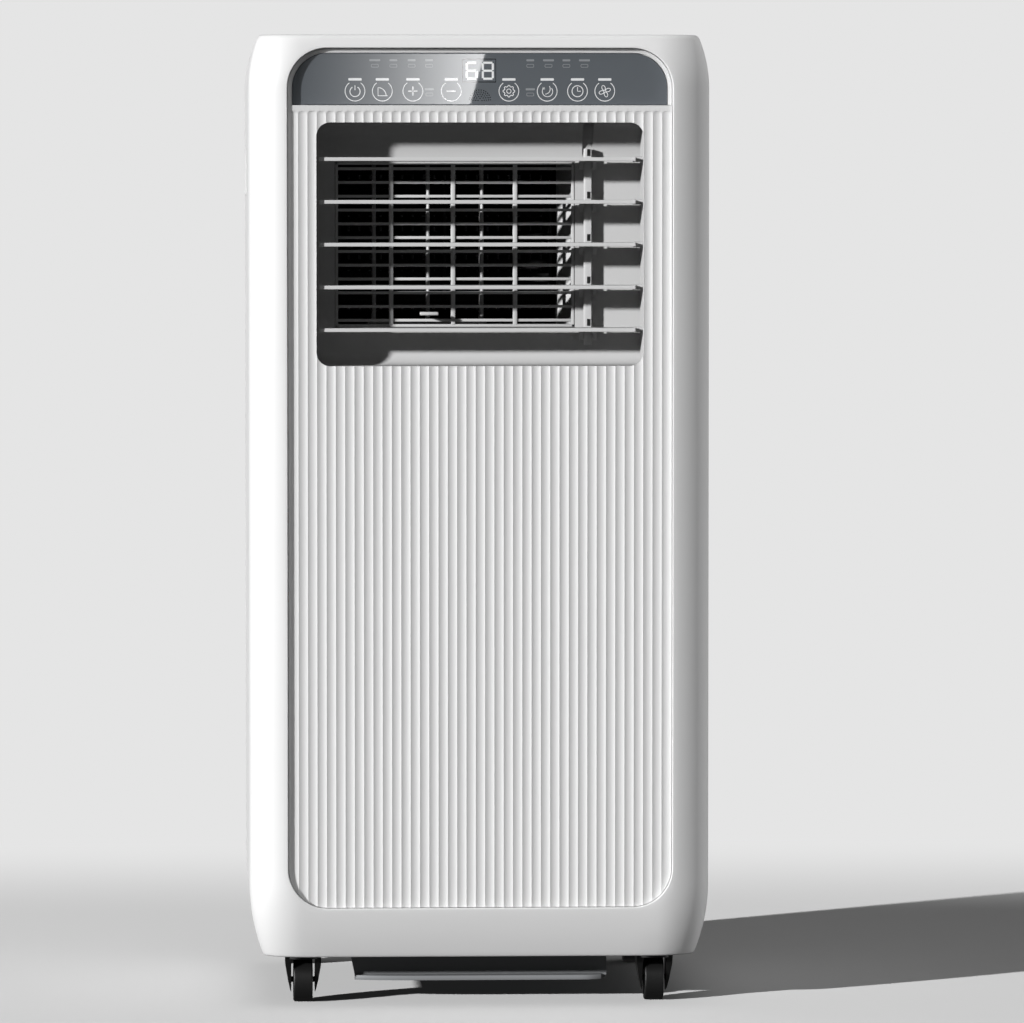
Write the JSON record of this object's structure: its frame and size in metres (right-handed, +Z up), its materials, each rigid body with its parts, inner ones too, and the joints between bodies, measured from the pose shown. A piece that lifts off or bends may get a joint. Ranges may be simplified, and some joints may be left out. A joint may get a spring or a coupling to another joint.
{
  "type": "portable air conditioner",
  "caption": "Upright portable air conditioner with a fluted front, a louvred air outlet, a touch strip, a rear exhaust collar and swivel casters.",
  "frame": {"origin": "on the floor, under the middle of the cabinet", "axes": "+Z up, -Y towards the front panel and air outlet, +X to the right seen from the front"},
  "size_m": [0.32, 0.3, 0.674],
  "materials": {
    "shell_white": "satin moulded ABS, white",
    "panel_white": "fine matt moulded ABS, white",
    "outlet_white": "satin white moulding",
    "control_glass": "polished slate-grey touch lens",
    "display_black": "smoked display block",
    "board_green": "lacquered circuit board",
    "inner_grey": "unpainted grey moulding",
    "rotor_grey": "glass-filled nylon, black",
    "motor_steel": "zinc-plated steel",
    "coil_aluminium": "stamped aluminium fins",
    "copper_tube": "drawn copper",
    "compressor_black": "black baked enamel on steel",
    "capacitor_can": "plain drawn can",
    "soft_rubber": "matt black rubber",
    "filter_net": "fine woven nylon net",
    "screw_steel": "zinc-plated",
    "caster_black": "black nylon",
    "caster_tread": "hard black tread"
  },
  "bodies": {
    "cabinet": {"front_shell": "shell_white", "rear_cover": "shell_white", "top_cover": "shell_white", "fluted_panel": "panel_white", "control_bezel": "panel_white", "control_glass": "control_glass", "control_board": "board_green", "display_module": "display_black", "vent_duct": "outlet_white", "vent_grille": "outlet_white", "swing_motor": "inner_grey", "blower_housing": "rotor_grey", "blower_motor": "motor_steel", "evaporator_coil": "coil_aluminium", "divider_tray": "inner_grey", "condenser_coil": "coil_aluminium", "exhaust_fan_housing": "inner_grey", "exhaust_fan_motor": "motor_steel", "exhaust_collar": "outlet_white", "compressor": "compressor_black", "compressor_grommets": "soft_rubber", "accumulator": "compressor_black", "refrigerant_tubes": "copper_tube", "control_box": "inner_grey", "run_capacitor": "capacitor_can", "base_pan": "inner_grey", "splash_motor": "motor_steel", "float_switch": "inner_grey", "handle_left": "shell_white", "handle_right": "shell_white", "cord_gland": "soft_rubber", "cover_screws": "screw_steel", "caster_sockets": "caster_black"},
    "louvre_1": {"louvre_1": "outlet_white"},
    "louvre_2": {"louvre_2": "outlet_white"},
    "louvre_3": {"louvre_3": "outlet_white"},
    "louvre_4": {"louvre_4": "outlet_white"},
    "louvre_5": {"louvre_5": "outlet_white"},
    "louvre_link": {"louvre_link": "outlet_white"},
    "vane_1": {"vane_1": "outlet_white"},
    "vane_2": {"vane_2": "outlet_white"},
    "vane_3": {"vane_3": "outlet_white"},
    "vane_link": {"vane_link": "outlet_white"},
    "blower_wheel": {"blower_wheel": "rotor_grey"},
    "exhaust_fan_wheel": {"exhaust_fan_wheel": "rotor_grey"},
    "splash_wheel": {"splash_wheel": "outlet_white"},
    "upper_filter": {"upper_intake_frame": "shell_white", "upper_filter_mesh": "filter_net"},
    "lower_filter": {"lower_intake_frame": "shell_white", "lower_filter_mesh": "filter_net"},
    "drain_plug_upper": {"drain_plug_upper": "soft_rubber"},
    "drain_plug_lower": {"drain_plug_lower": "soft_rubber"},
    "caster_fork_front_left": {"caster_fork_front_left": "caster_black"},
    "caster_wheel_front_left": {"caster_wheel_front_left": "caster_tread"},
    "caster_fork_front_right": {"caster_fork_front_right": "caster_black"},
    "caster_wheel_front_right": {"caster_wheel_front_right": "caster_tread"},
    "caster_fork_rear_left": {"caster_fork_rear_left": "caster_black"},
    "caster_wheel_rear_left": {"caster_wheel_rear_left": "caster_tread"},
    "caster_fork_rear_right": {"caster_fork_rear_right": "caster_black"},
    "caster_wheel_rear_right": {"caster_wheel_rear_right": "caster_tread"}
  },
  "joints": [
    {"name": "louvre_3_tilt", "type": "hinge", "parent": "cabinet", "child": "louvre_3", "pos_m": [0, -0.1245, 0.52885], "axis": [1, 0, 0], "range_deg": [-20, 70]},
    {"name": "louvre_1_tilt", "type": "hinge", "parent": "cabinet", "child": "louvre_1", "pos_m": [0, -0.1245, 0.58795], "axis": [1, 0, 0], "range_deg": [-20, 70]},
    {"name": "louvre_2_tilt", "type": "hinge", "parent": "cabinet", "child": "louvre_2", "pos_m": [0, -0.1245, 0.5584], "axis": [1, 0, 0], "range_deg": [-20, 70]},
    {"name": "louvre_4_tilt", "type": "hinge", "parent": "cabinet", "child": "louvre_4", "pos_m": [0, -0.1245, 0.4993], "axis": [1, 0, 0], "range_deg": [-20, 70]},
    {"name": "louvre_5_tilt", "type": "hinge", "parent": "cabinet", "child": "louvre_5", "pos_m": [0, -0.1245, 0.46975], "axis": [1, 0, 0], "range_deg": [-20, 70]},
    {"name": "louvre_link_pivot", "type": "hinge", "parent": "louvre_3", "child": "louvre_link", "pos_m": [0, -0.1105, 0.52285], "axis": [1, 0, 0], "range_deg": [-70, 20]},
    {"name": "vane_2_yaw", "type": "hinge", "parent": "cabinet", "child": "vane_2", "pos_m": [-0.0342, -0.082, 0.5286], "axis": [0, 0, 1], "range_deg": [-18, 18]},
    {"name": "vane_1_yaw", "type": "hinge", "parent": "cabinet", "child": "vane_1", "pos_m": [-0.0718, -0.082, 0.5286], "axis": [0, 0, 1], "range_deg": [-18, 18]},
    {"name": "vane_3_yaw", "type": "hinge", "parent": "cabinet", "child": "vane_3", "pos_m": [0.0034, -0.082, 0.5286], "axis": [0, 0, 1], "range_deg": [-18, 18]},
    {"name": "vane_link_pivot", "type": "hinge", "parent": "vane_2", "child": "vane_link", "pos_m": [-0.0342, -0.069, 0.474], "axis": [0, 0, 1], "range_deg": [-18, 18]},
    {"name": "blower_spin", "type": "hinge", "parent": "cabinet", "child": "blower_wheel", "pos_m": [0, 0.002, 0.5286], "axis": [1, 0, 0], "continuous": true},
    {"name": "exhaust_fan_spin", "type": "hinge", "parent": "cabinet", "child": "exhaust_fan_wheel", "pos_m": [0.045, 0, 0.2], "axis": [0, 1, 0], "continuous": true},
    {"name": "splash_spin", "type": "hinge", "parent": "cabinet", "child": "splash_wheel", "pos_m": [-0.1, 0, 0.1], "axis": [0, 1, 0], "continuous": true},
    {"name": "upper_filter_pull", "type": "slide", "parent": "cabinet", "child": "upper_filter", "axis": [0, 1, 0], "range_m": [0, 0.04]},
    {"name": "lower_filter_pull", "type": "slide", "parent": "cabinet", "child": "lower_filter", "axis": [0, 1, 0], "range_m": [0, 0.04]},
    {"name": "drain_plug_upper_pull", "type": "slide", "parent": "cabinet", "child": "drain_plug_upper", "axis": [0, 1, 0], "range_m": [0, 0.03]},
    {"name": "drain_plug_lower_pull", "type": "slide", "parent": "cabinet", "child": "drain_plug_lower", "axis": [0, 1, 0], "range_m": [0, 0.03]},
    {"name": "caster_swivel_front_left", "type": "hinge", "parent": "cabinet", "child": "caster_fork_front_left", "pos_m": [-0.1227, -0.118, 0.035], "axis": [0, 0, 1], "continuous": true},
    {"name": "caster_roll_front_left", "type": "hinge", "parent": "caster_fork_front_left", "child": "caster_wheel_front_left", "pos_m": [-0.1227, -0.109, 0.0154], "axis": [1, 0, 0], "continuous": true},
    {"name": "caster_swivel_front_right", "type": "hinge", "parent": "cabinet", "child": "caster_fork_front_right", "pos_m": [0.1227, -0.118, 0.035], "axis": [0, 0, 1], "continuous": true},
    {"name": "caster_roll_front_right", "type": "hinge", "parent": "caster_fork_front_right", "child": "caster_wheel_front_right", "pos_m": [0.1227, -0.109, 0.0154], "axis": [1, 0, 0], "continuous": true},
    {"name": "caster_swivel_rear_left", "type": "hinge", "parent": "cabinet", "child": "caster_fork_rear_left", "pos_m": [-0.1227, 0.118, 0.035], "axis": [0, 0, 1], "continuous": true},
    {"name": "caster_roll_rear_left", "type": "hinge", "parent": "caster_fork_rear_left", "child": "caster_wheel_rear_left", "pos_m": [-0.1227, 0.127, 0.0154], "axis": [1, 0, 0], "continuous": true},
    {"name": "caster_swivel_rear_right", "type": "hinge", "parent": "cabinet", "child": "caster_fork_rear_right", "pos_m": [0.1227, 0.118, 0.035], "axis": [0, 0, 1], "continuous": true},
    {"name": "caster_roll_rear_right", "type": "hinge", "parent": "caster_fork_rear_right", "child": "caster_wheel_rear_right", "pos_m": [0.1227, 0.127, 0.0154], "axis": [1, 0, 0], "continuous": true}
  ],
  "couplings": [
    {"joint": "louvre_1_tilt", "follows": "louvre_3_tilt", "ratio": 1},
    {"joint": "louvre_2_tilt", "follows": "louvre_3_tilt", "ratio": 1},
    {"joint": "louvre_4_tilt", "follows": "louvre_3_tilt", "ratio": 1},
    {"joint": "louvre_5_tilt", "follows": "louvre_3_tilt", "ratio": 1},
    {"joint": "louvre_link_pivot", "follows": "louvre_3_tilt", "ratio": -1},
    {"joint": "vane_1_yaw", "follows": "vane_2_yaw", "ratio": 1},
    {"joint": "vane_3_yaw", "follows": "vane_2_yaw", "ratio": 1},
    {"joint": "vane_link_pivot", "follows": "vane_2_yaw", "ratio": -1}
  ]
}
